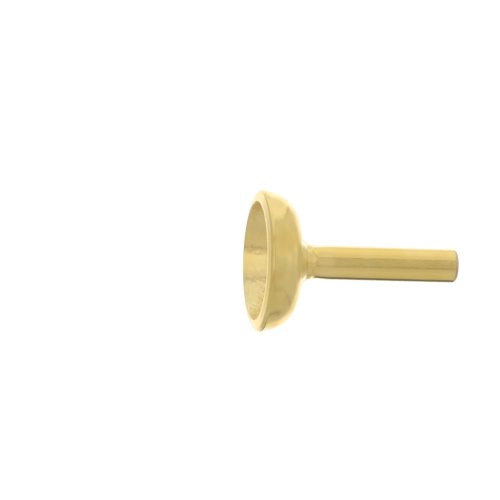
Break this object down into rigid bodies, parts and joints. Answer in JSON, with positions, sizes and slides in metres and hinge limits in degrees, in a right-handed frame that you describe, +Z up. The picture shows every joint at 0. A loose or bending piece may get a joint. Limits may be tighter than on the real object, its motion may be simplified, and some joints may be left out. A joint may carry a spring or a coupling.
{
  "type": "cabochon stem setting",
  "caption": "Shallow round cup with a bevelled rim that seats a small round cabochon, cast in one piece with a plain straight post that is fixed in a drilled hole.",
  "frame": {"origin": "middle of the box's base, on the surface that the setting lies on", "axes": "+X towards the free end of the post, +Z up; the setting lies on its side, so its own axis slopes down towards +X by 15.4 degrees, and +Y runs across it"},
  "size_m": [0.0076, 0.0048, 0.0047],
  "materials": {
    "polished_gold": "polished"
  },
  "bodies": {
    "root": {"stem_setting": "polished_gold"}
  },
  "joints": []
}
